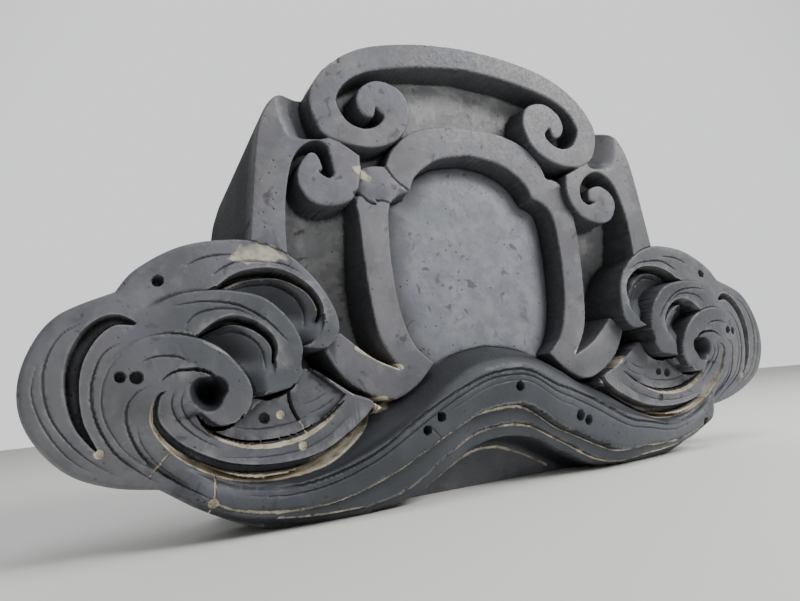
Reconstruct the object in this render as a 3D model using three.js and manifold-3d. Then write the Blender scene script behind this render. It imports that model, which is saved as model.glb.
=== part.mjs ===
// Roof end tile: a hollow ridge-end tile with a plain arched panel in a cusped frame, a scroll
// pediment over it and a wave fin with three curling claws on each side, fired as one piece.
//
// Drawn from the front. x is measured from the middle, z from the drawing's foot line and t
// forward from the frame's face; all lengths are millimetres. Each outline is given for the
// right half as a few knots on a smooth curve and is mirrored for the left.

import * as THREE from 'three';
import * as BufferGeometryUtils from 'three/addons/utils/BufferGeometryUtils.js';
import Module from 'manifold-3d';

const wasm = await Module();
wasm.setup();

// Driving sizes
const tileWidth = 588;      // over both fins
const tileHeight = 330;     // from the underside to the top of the pediment
const trunkDepth = 90;      // from the frame's face to the open back
const wall = 18;            // side walls of the trunk
const plate = 24;           // front plate behind its deepest ground
const flare = 1.07;         // the trunk widens toward the back
const backDrop = 26;        // the shoulders fall toward the back
const pedimentDepth = 17;   // ground behind the scroll pediment
const sideDepth = 36;       // ground beside the frame
const finDepth = 42;        // back face of the fins
const archDepth = 28;       // plate under the arch of the wave band
const frameFace = 0;
const scrollFace = 5;
const crestFace = 6;
const panelEdge = -20;
const panelCrown = -12;
const holeRadius = 2.8;
const holeDepth = 11;
const arcStep = 8;          // facet length along the outlines

const trunkBack = -trunkDepth;
const pedimentGround = -pedimentDepth;
const sideGround = -sideDepth;
const cavityFront = sideGround - plate;
const rootDepth = sideGround - plate / 3; // how far back the relief is rooted in the plate
const finRoot = 2 - finDepth;             // how far back the claws are rooted in the fin

// Curves. The outlines are drawn for a tile 588 wide and 330 tall whose underside is at z = -3.
const stretchX = tileWidth / 588;
const stretchZ = tileHeight / 330;
const foot = -3 * stretchZ;
const vec = ([x, z]) => new THREE.Vector2(x * stretchX, z * stretchZ);

function run(knots, step = arcStep) {
  const curve = new THREE.SplineCurve(knots.map(vec));
  return curve.getSpacedPoints(Math.max(1, Math.round(curve.getLength() / step)));
}

// Joins runs end to end, with a sharp corner where two of them meet
function join(...runs) {
  const points = [];
  for (const point of runs.flat()) {
    const last = points[points.length - 1];
    if (!last || last.distanceTo(point) > 0.5) points.push(point);
  }
  if (points[0].distanceTo(points[points.length - 1]) < 0.5) points.pop();
  return points;
}

const mirror = (points) => points.map((p) => new THREE.Vector2(-p.x, p.y));
const bothSides = (half) => join(half, mirror(half).reverse());

// Solids
function solid(geometry) {
  geometry.deleteAttribute('normal');
  geometry.deleteAttribute('uv');
  const merged = BufferGeometryUtils.mergeVertices(geometry, 1e-4);
  return new wasm.Manifold(new wasm.Mesh({
    numProp: 3,
    vertProperties: new Float32Array(merged.attributes.position.array),
    triVerts: new Uint32Array(merged.index.array),
  }));
}

function prismGeometry(points, back, front) {
  const shape = new THREE.Shape(THREE.ShapeUtils.isClockWise(points) ? [...points].reverse() : points);
  const geometry = new THREE.ExtrudeGeometry(shape, { depth: front - back, steps: 1, bevelEnabled: false });
  geometry.translate(0, 0, back);
  geometry.rotateX(Math.PI / 2); // the drawing stands up and its depth runs toward -Y
  return geometry;
}

const prism = (points, back, front) => solid(prismGeometry(points, back, front));
const pair = (points, back, front) => [prism(points, back, front), prism(mirror(points), back, front)];

// Behind the pediment's ground the trunk widens and its shoulders drop, all the way to its back
function trunkPrism(points, back, front) {
  const geometry = prismGeometry(points, back, front);
  const position = geometry.attributes.position;
  for (let i = 0; i < position.count; i += 1) {
    const depth = -position.getY(i);
    const share = Math.max(0, (pedimentGround - depth) / (pedimentGround - trunkBack));
    const drop = backDrop * THREE.MathUtils.smoothstep(position.getZ(i), 190 * stretchZ, 262 * stretchZ);
    position.setX(i, position.getX(i) * (1 + (flare - 1) * share));
    position.setZ(i, position.getZ(i) - drop * share);
  }
  return solid(geometry);
}

// A bar along x with the profile given as [t, z] points
function barAlongX(profile, from, to) {
  const points = profile.map(([t, z]) => new THREE.Vector2(-t, z * stretchZ));
  const shape = new THREE.Shape(THREE.ShapeUtils.isClockWise(points) ? [...points].reverse() : points);
  const geometry = new THREE.ExtrudeGeometry(shape, { depth: to - from, steps: 1, bevelEnabled: false });
  geometry.rotateX(Math.PI / 2);
  geometry.rotateZ(Math.PI / 2);
  geometry.translate(from, 0, 0);
  return solid(geometry);
}

// Closed skin over rings of [x, t, z] points that have the same count. flat turns a point into
// the two coordinates in which the first and the last ring are filled.
function loft(rings, flat) {
  const count = rings[0].length;
  const positions = rings.flat().flatMap(([x, t, z]) => [x, -t, z]);
  const index = [];
  for (let r = 0; r + 1 < rings.length; r += 1) {
    for (let i = 0; i < count; i += 1) {
      const a = r * count + i;
      const b = r * count + (i + 1) % count;
      index.push(a, b, b + count, a, b + count, a + count);
    }
  }
  const corners = (ring) => ring.map((p) => new THREE.Vector2(...flat(p)));
  const turn = THREE.ShapeUtils.isClockWise(corners(rings[0])) ? -1 : 1;
  const fill = (ring, sign) => {
    const flatRing = corners(ring);
    const start = rings.indexOf(ring) * count;
    for (const [a, b, c] of THREE.ShapeUtils.triangulateShape(flatRing, [])) {
      const area = (flatRing[b].x - flatRing[a].x) * (flatRing[c].y - flatRing[a].y)
        - (flatRing[c].x - flatRing[a].x) * (flatRing[b].y - flatRing[a].y);
      if (Math.sign(area) === sign * turn) index.push(start + a, start + b, start + c);
      else index.push(start + a, start + c, start + b);
    }
  };
  fill(rings[0], -1);
  fill(rings[rings.length - 1], 1);
  const geometry = new THREE.BufferGeometry();
  geometry.setAttribute('position', new THREE.Float32BufferAttribute(positions, 3));
  geometry.setIndex(index);
  const body = solid(geometry);
  if (body.volume() > 0) return body;
  geometry.setIndex(index.reverse());
  return solid(geometry);
}

// A cushion-like plate: rings shrink toward the centre while the face rises to its crown
function pillow(points, back, edge, crown, rings = 4) {
  const centre = points.reduce((sum, p) => sum.add(p), new THREE.Vector2()).divideScalar(points.length);
  const ring = (share, t) => points.map((p) => {
    const q = centre.clone().lerp(p, share);
    return [q.x, t, q.y];
  });
  const rows = [ring(1, back), ring(1, edge)];
  for (let k = 1; k <= rings; k += 1) {
    const share = 1 - k / (rings + 0.6);
    rows.push(ring(share, edge + (crown - edge) * (1 - share ** 2)));
  }
  return loft(rows, ([x, , z]) => [x, z]);
}

const add = (solids) => wasm.Manifold.union(solids);

// Trunk
const shoulder = [[172, 165], [168, 200], [165, 225], [161, 248], [154, 263], [143, 269.5], [126, 271]];
const crestTop = [[126, 271], [120, 287], [108, 299], [80, 315], [40, 324], [0, 327]];
const trunkOutline = bothSides(join([vec([172, -3])], run(shoulder), run(crestTop)));
const trunk = trunkPrism(trunkOutline, trunkBack, pedimentGround);

// The hollow keeps the wall's thickness inside the outline
const inward = (points, side, top) => points.map((p) => new THREE.Vector2(p.x - side(p), p.y - top));
const cavityOutline = bothSides(join(
  [vec([172, -23]).sub(new THREE.Vector2(wall, 0))],
  inward(run(shoulder, 14), () => wall, wall * 0.8),
  inward(run(crestTop, 14).slice(2), (p) => wall * p.x / vec(crestTop[0]).x, wall * 1.15)));
const cavity = trunkPrism(cavityOutline, trunkBack - 5, cavityFront);

const sideRecess = barAlongX([
  [pedimentGround, 245], [THREE.MathUtils.lerp(pedimentGround, sideGround, 0.26), 192],
  [sideGround, 150], [sideGround, 60], [sideGround, -8], [pedimentGround + 20, -8],
  [pedimentGround + 20, 245],
], -tileWidth / 3, tileWidth / 3);

// Scroll pediment: a flat band that ends in a volute on each side
const crestBand = join(
  run([[0, 327], [40, 324], [80, 315], [108, 299], [123, 280], [126, 265], [119, 247], [105, 238.5],
    [88, 237], [70, 242], [56, 253], [50.5, 270], [57, 285], [74, 290], [88, 282], [92, 271],
    [87, 262.5], [80, 261.5], [77, 269]]),
  run([[77, 269], [72, 263], [76, 256.5], [86, 252.5], [97, 255], [104, 263], [106, 272], [101, 282],
    [92, 290], [75, 297.5], [40, 305], [0, 309]]),
);
const crest = prism(bothSides(crestBand), pedimentGround - 4, crestFace);

// Shoulder border, which rolls inward into a second volute
const sideScroll = join(
  run([[172, 165], [168, 200], [165, 225], [161, 248], [154, 263], [143, 269.5], [130, 270]]),
  run([[130, 270], [122, 254], [108, 241], [88, 230]]),
  run([[88, 230], [86, 217], [91, 203], [102, 193.5], [117, 190], [130, 194], [137, 206], [134, 216],
    [123, 222.5], [111, 219], [108.5, 211], [114.5, 208]]),
  run([[114.5, 208], [107, 206], [101, 211], [102, 221], [111, 231], [124, 234.5], [136, 227],
    [143, 212], [147, 192], [148, 165]]),
);
const sideScrolls = [sideScroll, mirror(sideScroll)].flatMap((points) => [
  prism(points, pedimentGround, scrollFace), trunkPrism(points, rootDepth, pedimentGround)]);

// Frame: the arch and the jambs meet in cusps and the feet turn out into hooks
const archOuter = [[0, 263.5], [30, 261.5], [53, 253], [66, 240], [71, 228]];
const jambOuter = [[71, 228], [83, 225], [91, 212], [95, 185], [94, 145], [89, 108], [76, 85]];
const hookTop = [[76, 85], [95, 94], [116.5, 112]];
const hookBottom = [[129, 102.5], [118, 84], [100, 70.5], [83, 65.5], [66, 72], [50, 87]];
const jambInner = [[50, 87], [64, 102], [72, 130], [74, 170], [70, 200], [54, 210.5]];
const archInner = [[54, 210.5], [47, 223.5], [27, 236.5], [0, 241.5]];
const frame = prism(bothSides(join(
  run(archOuter), run(jambOuter), run(hookTop), run(hookBottom), run(jambInner), run(archInner),
)), rootDepth, frameFace);

// Panel: the cushion inside the frame, its edge tucked under the frame
const panelOutline = bothSides(join(
  run([[0, 56], [40, 58], [62, 72]]), run([[62, 72], [74, 115], [78, 170], [74, 205], [60, 216]]),
  run([[60, 216], [48, 231], [26, 243], [0, 247]]),
));
const panel = pillow(panelOutline, rootDepth, panelEdge, panelCrown);

// Wave band: rows along x, each a profile from the panel over the crest's rim to the underside
const bandX = [0, 25, 50, 75, 100, 130, 160, 190, 228];
const bandLines = { // height of each line over the band's half length
  top: [97, 93, 83, 68, 57, 38, 29, 33, 56],
  shoulder: [87, 84, 72, 56, 43, 30, 24, 28, 50],
  rim: [79, 76.5, 65, 51, 40, 28.5, 22, 26, 46],
  step: [54, 50.5, 39, 26, 15.5, 8.5, 9.5, 15, 33],
  line: [41, 38, 26, 12, 4.5, 2.5, 4.5, 11, 30],
  lip: [32, 28, 15.5, 3, -1, -2, 0.5, 8, 28],
};
const bandFace = { top: -17, shoulder: 14, rim: 20, step: 16, under: 7, line: 5, below: 1, lip: -1 };
const finLow = { top: -5, shoulder: 2, rim: 5, step: 5, under: 3, line: 1, below: 0, lip: -7 };
const bandRows = [];
const rowCount = 33;
for (let i = 0; i < rowCount; i += 1) {
  const end = bandX[bandX.length - 1];
  const x = THREE.MathUtils.lerp(-end, end, i / (rowCount - 1));
  const height = (name) => {
    const curve = new THREE.SplineCurve(bandX.map((bx, k) => new THREE.Vector2(bx, bandLines[name][k])));
    const k = Math.max(1, bandX.findIndex((bx) => bx >= Math.abs(x)));
    const u = k - 1 + (Math.abs(x) - bandX[k - 1]) / (bandX[k] - bandX[k - 1]);
    return curve.getPoint(u / (bandX.length - 1)).y;
  };
  const fade = THREE.MathUtils.smoothstep(Math.abs(x), 85, 190); // toward the fin's flatter lower wave
  const depth = (name) => THREE.MathUtils.lerp(bandFace[name], finLow[name], fade);
  const lip = height('lip');
  bandRows.push([
    [2 - finDepth, height('top') - 0.5], [depth('top'), height('top')],
    [depth('shoulder'), height('shoulder')], [depth('rim'), height('rim')],
    [depth('step'), height('step')], [depth('under'), height('step') - 1],
    [depth('line'), height('line')], [depth('below'), height('line') - 1],
    [depth('lip'), lip], [-archDepth, lip - 8], [2 - finDepth, lip - 8.5],
  ].map(([t, z]) => [x * stretchX, t, Math.max(z * stretchZ, foot)]));
}
const waveBand = loft(bandRows, ([, t, z]) => [t, z]);

// Fins
const finOutline = join(
  [vec([100, -3])], run([[150, -3], [176, 1], [200, 12], [228, 30]]),
  run([[228, 30], [252, 35], [273, 46], [289, 67], [294, 88], [289, 110], [275, 129], [247, 141]]),
  run([[247, 141], [236, 154], [212, 167.5], [184, 172], [158, 167.5], [137, 153], [124, 133],
    [120, 114], [133, 101]]),
  run([[133, 101], [138, 91], [112, 72]]), run([[112, 72], [90, 64], [80, 40], [100, -3]]),
);
const finFace = { sheet: -6, lobe: 7, clawTwo: 14, clawThree: 13, swirl: 7, pool: 1, leafOne: 2, leafTwo: 5 };
const fin = pair(finOutline, -finDepth, finFace.sheet);

const lobe = join( // outer lobe, between the rim and the crescent slit
  run([[228, 30], [252, 35], [273, 46], [289, 67], [294, 88], [289, 110], [275, 129], [247, 141]]),
  run([[247, 141], [236, 154], [212, 167.5], [184, 172], [158, 167.5], [137, 153], [124, 133],
    [120, 114], [126, 104], [133, 101], [139, 103]]),
  run([[139, 103], [132, 116], [131, 127], [140, 142], [158, 151], [178, 148], [200, 138]]),
  run([[200, 138], [215, 130], [230, 124], [243, 126], [258, 120], [268, 103], [270, 83],
    [257, 54], [228, 30]]),
);
const clawTwo = join(
  run([[228, 128], [210, 137], [187, 139], [166, 133], [150, 116], [145, 96], [152, 81], [166, 77]]),
  run([[166, 77], [176, 80], [168, 92], [162, 101], [170, 115], [186, 121.5], [202, 114]]),
  run([[202, 114], [225, 112], [228, 128]]),
);
const clawThree = join(
  run([[255, 60], [259, 76], [255, 100], [240, 111], [219, 115], [197, 107.5], [182, 92], [177, 77],
    [184, 64], [196, 62], [206, 70]]),
  run([[206, 70], [194, 73], [192, 84], [204, 89.5], [216, 84], [224, 84]]),
  run([[224, 84], [230, 72], [226, 58], [236, 42], [255, 60]]),
);
const innerSwirl = join( // between the two lime-filled spiral grooves
  run([[228, 86], [227, 68], [214, 50], [192, 37], [164, 33], [138, 37], [106, 57]]),
  run([[106, 57], [117, 70], [133, 58], [152, 50], [176, 49], [198, 57], [209, 72]]),
  run([[209, 72], [214, 83], [228, 86]]),
);
const pool = join(
  run([[205, 66], [192, 54], [172, 49.5], [150, 51.5], [133, 60], [118, 71]]),
  run([[118, 71], [140, 90], [160, 80], [184, 68], [205, 66]]),
);
const claws = [
  ...pair(lobe, finRoot, finFace.lobe), ...pair(clawTwo, finRoot, finFace.clawTwo),
  ...pair(clawThree, finRoot, finFace.clawThree), ...pair(innerSwirl, finRoot, finFace.swirl),
  ...pair(pool, finRoot, finFace.pool),
];

// The leaves inside claws one and two lie lower than their rims and run in under them
const leafOne = join(
  run([[136, 106], [128, 120], [136, 141], [157, 153], [181, 151], [205, 134]]),
  run([[205, 134], [176, 128], [152, 110], [144, 104], [136, 106]]),
);
const leafTwo = join(
  run([[165, 80], [160, 92], [163, 106], [174, 117], [188, 121], [210, 112]]),
  run([[210, 112], [196, 100], [182, 86], [174, 80], [165, 80]]),
);
const leaves = [
  ...pair(leafOne, finRoot, finFace.leafOne), ...pair(leafTwo, finRoot, finFace.leafTwo),
];

// Slits: strokes along a curve that taper to both ends, cut down from the face
function stroke(knots, width, power = 0.7) {
  const curve = new THREE.SplineCurve(knots.map(vec));
  const n = Math.max(6, Math.round(curve.getLength() / 9));
  const side = (sign) => Array.from({ length: n + 1 }, (_, i) => {
    const u = i / n;
    const half = 0.5 * width * stretchX * Math.max(0.08, Math.sin(Math.PI * u)) ** power;
    const normal = curve.getTangentAt(u).rotateAround(new THREE.Vector2(), Math.PI / 2);
    return curve.getPointAt(u).addScaledVector(normal, sign * half);
  });
  return join(side(1), side(-1).reverse());
}
const slitFloor = { claw: -30, crescent: -14, inner: -4, outerSwirl: -16, innerSwirl: -10, eye: -25 };
const cut = (knots, width, floor) => pair(stroke(knots, width), floor, crestFace + finDepth);
const slits = [
  ...cut([[196, 140], [178, 149], [156, 150], [138, 140], [131, 126], [136, 116]], 6, slitFloor.claw),
  ...cut([[206, 114], [188, 121], [172, 116], [163, 105], [165, 92]], 6, slitFloor.claw),
  ...cut([[236, 122], [252, 121], [264, 108], [269, 88], [266, 68], [257, 54]], 8, slitFloor.crescent),
  ...cut([[226, 88], [212, 94], [199, 90], [191, 80]], 2.5, slitFloor.inner),
  ...cut([[224, 84], [228, 66], [214, 48], [190, 35], [164, 32], [136, 36], [106, 54]], 9,
    slitFloor.outerSwirl),
  ...cut([[210, 72], [200, 56], [178, 48], [152, 49], [130, 58], [117, 70]], 5, slitFloor.innerSwirl),
];

// Round holes: the fins' are bored on both sides, the band's where the tile shows them
function bore([x, z], face, radius = holeRadius, deep = holeDepth) {
  const centre = vec([x, z]);
  const circle = new THREE.EllipseCurve(centre.x, centre.y, radius, radius).getPoints(10).slice(1);
  return prism(circle, face - deep, face + finDepth);
}
const finHoles = [[225, 146], [246, 93], [237.5, 93], [169, 63], [159, 64], [257, 54], [149, 44.5],
  [200, 19.5]];
const bandHoles = [[-60, 51.5], [-71, 44.3], [54, 39], [61, 34.6], [4.5, 65.4]];
const eye = [203, 81];      // deep centre of the fin's spiral
const eyeRadius = 8;
const holes = [
  ...[...finHoles].flatMap(([x, z]) => [bore([x, z], finFace.lobe), bore([-x, z], finFace.lobe)]),
  ...bandHoles.map((place) => bore(place, bandFace.rim)),
  ...[1, -1].map((side) => bore([side * eye[0], eye[1]], slitFloor.eye, eyeRadius, 0)),
];

// Assembly
const body = add([
  trunk.subtract(sideRecess), crest, ...sideScrolls, frame, panel, waveBand,
  ...fin, ...claws, ...leaves,
]).subtract(add([...slits, ...holes, cavity]));

const box = body.boundingBox();
const placed = body.translate([0, -(box.min[1] + box.max[1]) / 2, -box.min[2]]).asOriginal().simplify(0.05);
const mesh = placed.getMesh();
const geometry = new THREE.BufferGeometry();
geometry.setAttribute('position', new THREE.BufferAttribute(new Float32Array(mesh.vertProperties), 3));
geometry.setIndex(new THREE.BufferAttribute(new Uint32Array(mesh.triVerts), 1));
geometry.computeVertexNormals();

const smokedClay = new THREE.MeshStandardMaterial({ color: 0x7c7b80, roughness: 0.62, metalness: 0.0 });
const tile = new THREE.Mesh(geometry, smokedClay);
tile.name = 'roof_end_tile';

const group = new THREE.Group();
group.name = 'roof_end_tile_part';
group.add(tile);
export default group;
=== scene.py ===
"""Roof end tile: the carved and weathered tile as one high-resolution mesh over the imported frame.

The tile is drawn from the front, in millimetres: x from the middle, z from the drawing's foot
line, t forward from the frame's face. Its front is a relief t(x, z) on a fine grid whose points
are moved onto the carved outlines, and its back is a second relief over the same grid.
"""

import math

import bmesh
import bpy
import numpy as np
from mathutils import Matrix, Vector


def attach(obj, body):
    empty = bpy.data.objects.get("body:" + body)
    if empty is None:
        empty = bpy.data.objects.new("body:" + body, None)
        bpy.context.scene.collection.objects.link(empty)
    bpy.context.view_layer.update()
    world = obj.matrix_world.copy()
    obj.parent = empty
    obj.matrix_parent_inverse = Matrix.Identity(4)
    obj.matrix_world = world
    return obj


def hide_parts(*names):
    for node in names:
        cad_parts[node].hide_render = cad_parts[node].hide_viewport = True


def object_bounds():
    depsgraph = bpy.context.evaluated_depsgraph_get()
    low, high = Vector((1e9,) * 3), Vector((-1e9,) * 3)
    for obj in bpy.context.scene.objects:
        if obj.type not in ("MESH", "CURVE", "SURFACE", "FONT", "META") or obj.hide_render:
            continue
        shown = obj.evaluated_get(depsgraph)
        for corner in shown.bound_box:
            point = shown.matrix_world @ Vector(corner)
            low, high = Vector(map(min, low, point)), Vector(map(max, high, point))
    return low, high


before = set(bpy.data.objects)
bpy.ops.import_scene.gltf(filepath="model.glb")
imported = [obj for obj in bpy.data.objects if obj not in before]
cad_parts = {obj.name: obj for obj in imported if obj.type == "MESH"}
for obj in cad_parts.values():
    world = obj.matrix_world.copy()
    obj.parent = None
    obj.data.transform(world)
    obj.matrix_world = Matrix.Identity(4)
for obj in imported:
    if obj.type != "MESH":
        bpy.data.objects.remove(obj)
cad_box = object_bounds()

# Driving sizes, as in the frame
FOOT = -3.0
TRUNK_BACK = -90.0
CAVITY_FRONT = -60.0
WALL = 18.0
FLARE = 1.07
BACK_DROP = 26.0
PEDIMENT_GROUND = -17.0
SIDE_GROUND = -36.0
FIN_BACK = -42.0
FRAME_FACE = 0.0
SCROLL_FACE = 5.0
CREST_FACE = 6.0
PANEL_EDGE = -21.0
PANEL_CROWN = -12.5
GRID = 0.8            # grid step of the relief
ARRIS = 1.5           # rounding of the carved edges
MOST_TRIANGLES = 185000
REACH_X, REACH_Z = 298.0, 330.0
FAR = 99.0

rng = np.random.default_rng(7)


# Curves and distances
def run(*knots, step=1.2):
    """Points along a smooth curve through the knots."""
    k = np.array(knots, float)
    n = len(k) - 1
    u = np.linspace(0, n, max(2, n * 24))
    i = np.minimum(u.astype(int), n - 1)
    w = (u - i)[:, None]
    p0, p1 = k[np.maximum(i - 1, 0)], k[i]
    p2, p3 = k[np.minimum(i + 1, n)], k[np.minimum(i + 2, n)]
    v0, v1 = (p2 - p0) / 2, (p3 - p1) / 2
    p = (2 * p1 - 2 * p2 + v0 + v1) * w**3 + (-3 * p1 + 3 * p2 - 2 * v0 - v1) * w**2 + v0 * w + p1
    s = np.concatenate([[0], np.cumsum(np.hypot(*np.diff(p, axis=0).T))])
    at = np.linspace(0, s[-1], max(2, int(s[-1] / step) + 1))
    return np.stack([np.interp(at, s, p[:, 0]), np.interp(at, s, p[:, 1])], 1)


def join(*runs):
    """Runs joined end to end into one closed outline."""
    p = np.concatenate(runs)
    keep = np.hypot(*(p - np.roll(p, 1, axis=0)).T) > 0.05
    return p[keep]


def with_mirror(p):
    """A half outline that starts and ends on the middle, closed by its mirror image."""
    return join(p, (p * [-1, 1])[::-1])


def nearest(q, line, closed, margin=12.0):
    """Distance from each point of q to the line, the nearest point, the place 0..1 along it and the side."""
    a = line
    b = np.roll(line, -1, axis=0) if closed else line[1:]
    a = a if closed else line[:-1]
    d2 = np.full(len(q), FAR**2)
    near = q.copy()
    place = np.zeros(len(q))
    side = np.ones(len(q))
    low, high = line.min(0) - margin, line.max(0) + margin
    pick = np.flatnonzero(((q > low) & (q < high)).all(1))
    qp = q[pick]
    best, bn = np.full(len(pick), FAR**2), qp.copy()
    bu, bs = np.zeros(len(pick)), np.ones(len(pick))
    lengths = np.hypot(*(b - a).T)
    start = np.concatenate([[0], np.cumsum(lengths)[:-1]])
    total = lengths.sum()
    for (ax, az), (bx, bz), length, s0 in zip(a, b, lengths, start):
        if length < 1e-9:
            continue
        dx, dz = bx - ax, bz - az
        w = np.clip(((qp[:, 0] - ax) * dx + (qp[:, 1] - az) * dz) / length**2, 0, 1)
        nx, nz = ax + w * dx, az + w * dz
        dd = (qp[:, 0] - nx) ** 2 + (qp[:, 1] - nz) ** 2
        hit = dd < best
        best[hit] = dd[hit]
        bn[hit, 0], bn[hit, 1] = nx[hit], nz[hit]
        bu[hit] = (s0 + w[hit] * length) / total
        cross = dx * (qp[:, 1] - az) - dz * (qp[:, 0] - ax)
        bs[hit] = np.sign(cross[hit])
    d2[pick], near[pick], place[pick], side[pick] = best, bn, bu, bs
    return np.sqrt(d2), near, place, side


def inside(q, outline):
    """True for the points of q within the closed outline."""
    result = np.zeros(len(q), bool)
    low, high = outline.min(0), outline.max(0)
    pick = np.flatnonzero(((q >= low) & (q <= high)).all(1))
    x, z = q[pick].T
    odd = np.zeros(len(pick), bool)
    for (ax, az), (bx, bz) in zip(outline, np.roll(outline, -1, axis=0)):
        if az == bz:
            continue
        crosses = (az > z) != (bz > z)
        odd ^= crosses & (x < (bx - ax) * (z - az) / (bz - az) + ax)
    result[pick] = odd
    return result


def smooth(low, high, v):
    w = np.clip((v - low) / (high - low), 0, 1)
    return w * w * (3 - 2 * w)


def noise(x, z, size, seed):
    """Smooth value noise of about -1..1 with features of the given size in mm."""
    table = np.random.default_rng(seed).uniform(-1, 1, (64, 64))
    u, v = x / size + 17.3, z / size + 9.1
    i, j = np.floor(u).astype(int), np.floor(v).astype(int)
    fu, fv = u - i, v - j
    fu, fv = fu * fu * (3 - 2 * fu), fv * fv * (3 - 2 * fv)
    i0, j0, i1, j1 = i % 64, j % 64, (i + 1) % 64, (j + 1) % 64
    top = table[i0, j0] * (1 - fu) + table[i1, j0] * fu
    low = table[i0, j1] * (1 - fu) + table[i1, j1] * fu
    return top * (1 - fv) + low * fv


# Outlines of the right half
SHOULDER = run((172, 165), (168, 200), (165, 225), (161, 248), (155, 262), (147, 270.5), (136, 275), (124, 278))
CREST_TOP = run((124, 278), (119, 288), (108, 299), (80, 315), (40, 324), (0, 327))
TRUNK = with_mirror(np.concatenate([[[0, FOOT], [172, FOOT]], SHOULDER, CREST_TOP]))

CREST = with_mirror(join(
    run((0, 327), (40, 324), (80, 315), (108, 299), (123, 280), (126, 265), (119, 247), (105, 238.5),
        (88, 237), (70, 242), (56, 253), (50.5, 270), (57, 285), (74, 290), (88, 282), (92, 271),
        (87, 262.5), (80, 261.5), (77, 269)),
    run((77, 269), (72, 263), (76, 256.5), (86, 252.5), (97, 255), (104, 263), (106, 272), (101, 282),
        (92, 290), (75, 297.5), (40, 305), (0, 309)),
))
SIDE_SCROLL = join(
    np.array([[172, 150]]), SHOULDER,
    run((124, 278), (122, 254), (108, 241), (88, 230)),
    run((88, 230), (86, 217), (91, 203), (102, 193.5), (117, 190), (130, 194), (137, 206), (134, 216),
        (123, 222.5), (111, 219), (108.5, 211), (114.5, 208)),
    run((114.5, 208), (107, 206), (101, 211), (102, 221), (111, 231), (124, 234.5), (136, 227),
        (143, 212), (147, 192), (148, 165)),
    np.array([[148, 150]]),
)
FRAME = with_mirror(join(
    run((0, 263.5), (30, 261.5), (53, 253), (66, 240), (71, 228)),
    run((71, 228), (83, 225), (91, 212), (95, 185), (94, 145), (89, 108), (76, 85)),
    run((76, 85), (95, 94), (116.5, 112)),
    run((129, 102.5), (118, 84), (100, 70.5), (83, 65.5), (66, 72), (50, 87)),
    run((50, 87), (64, 102), (72, 130), (74, 170), (70, 200), (54, 210.5)),
    run((54, 210.5), (47, 223.5), (27, 236.5), (0, 241.5)),
))
PANEL = with_mirror(join(
    run((0, 60), (40, 62), (60, 76)), run((60, 76), (74, 115), (78, 170), (74, 205), (60, 216)),
    run((60, 216), (48, 231), (26, 243), (0, 247)),
))
FIN = join(
    run((100, FOOT), (150, FOOT), (176, 1), (200, 12), (228, 30)),
    run((228, 30), (252, 35), (273, 46), (289, 67), (294, 88), (289, 110), (275, 129), (247, 141)),
    run((247, 141), (236, 154), (212, 167.5), (184, 172), (158, 167.5), (137, 153), (124, 133),
        (120, 114), (126, 104), (133, 101), (145, 103)),
    run((145, 103), (147, 90), (139, 90), (112, 72)), run((112, 72), (96, 64), (80, 40), (100, FOOT)),
)
LOBE = join(
    run((228, 30), (252, 35), (273, 46), (289, 67), (294, 88), (289, 110), (275, 129), (247, 141)),
    run((247, 141), (236, 154), (212, 167.5), (184, 172), (158, 167.5), (137, 153), (124, 133),
        (120, 114), (126, 104), (133, 101), (145, 103)),
    run((145, 103), (160, 100), (180, 60), (215, 40), (228, 30)),
)
CLAW_TWO = join(
    run((232, 130), (218, 136), (204, 138.5), (187, 138.5), (166, 133), (150, 116), (145, 96), (152, 81),
        (166, 77)),
    run((166, 77), (177, 77), (182, 90), (197, 106), (219, 113.5), (238, 109), (251, 98)),
    run((251, 98), (252, 112), (246, 124), (232, 130)),
)
CLAW_THREE = join(
    run((262, 62), (258, 92), (240, 110), (219, 115), (197, 107.5), (182, 92), (177, 77), (184, 64),
        (196, 62), (206, 70)),
    run((206, 70), (224, 66), (236, 48), (262, 62)),
)
LEAF_ONE = join(
    run((145, 103), (134, 110), (130, 124), (139, 141), (158, 150), (180, 147), (200, 139)),
    run((200, 139), (187, 138.5), (166, 133), (150, 116), (145, 96)),
)
LEAF_TWO = join(
    run((172, 76), (166, 84), (163, 98), (169, 113), (185, 120), (208, 112)),
    run((208, 112), (197, 107.5), (182, 92), (177, 77)),
)
POOL = join(
    run((206, 70), (198, 58), (178, 50.5), (152, 51.5), (132, 60), (118, 72)),
    run((118, 72), (139, 90), (147, 90), (152, 81), (166, 77), (182, 66), (206, 70)),
)
HOLLOW = with_mirror(np.concatenate([
    [[0, FOOT - 5], [172 - WALL, FOOT - 5]], SHOULDER[:: 6] - [WALL, WALL * 0.8],
    (CREST_TOP * [1 - WALL / 126, 1] - [0, WALL * 1.15])[4:],
]))

# Wave band: the height of each of its lines over the half length, and how far it stands forward
BAND_X = (0, 25, 50, 75, 100, 130, 160, 190, 228)
BAND_LINES = {
    "top": (97, 93, 83, 68, 57, 38, 29, 33, 56),
    "shoulder": (87, 84, 72, 56, 43, 30, 24, 28, 50),
    "rim": (79, 76.5, 65, 51, 40, 28.5, 22, 26, 46),
    "step": (54, 51.5, 41.5, 30, 19.5, 10.5, 10, 15, 33),
    "line": (41, 38, 26, 12, 4.5, 2.5, 4.5, 11, 30),
    "lip": (32, 28, 15.5, 3, -1, -2, 0.5, 8, 28),
}
BAND_DEPTHS = {"top": -13, "shoulder": 14, "rim": 19.9, "step": 16, "line": 4.5, "lip": -1}
FIN_DEPTHS = {"top": -5, "shoulder": 2, "rim": 5, "step": 5, "line": 1, "lip": -7}


BAND_SAG = {"top": 0, "shoulder": 3, "rim": 6.5, "step": 12.5, "line": 4.5, "lip": 1}


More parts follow.
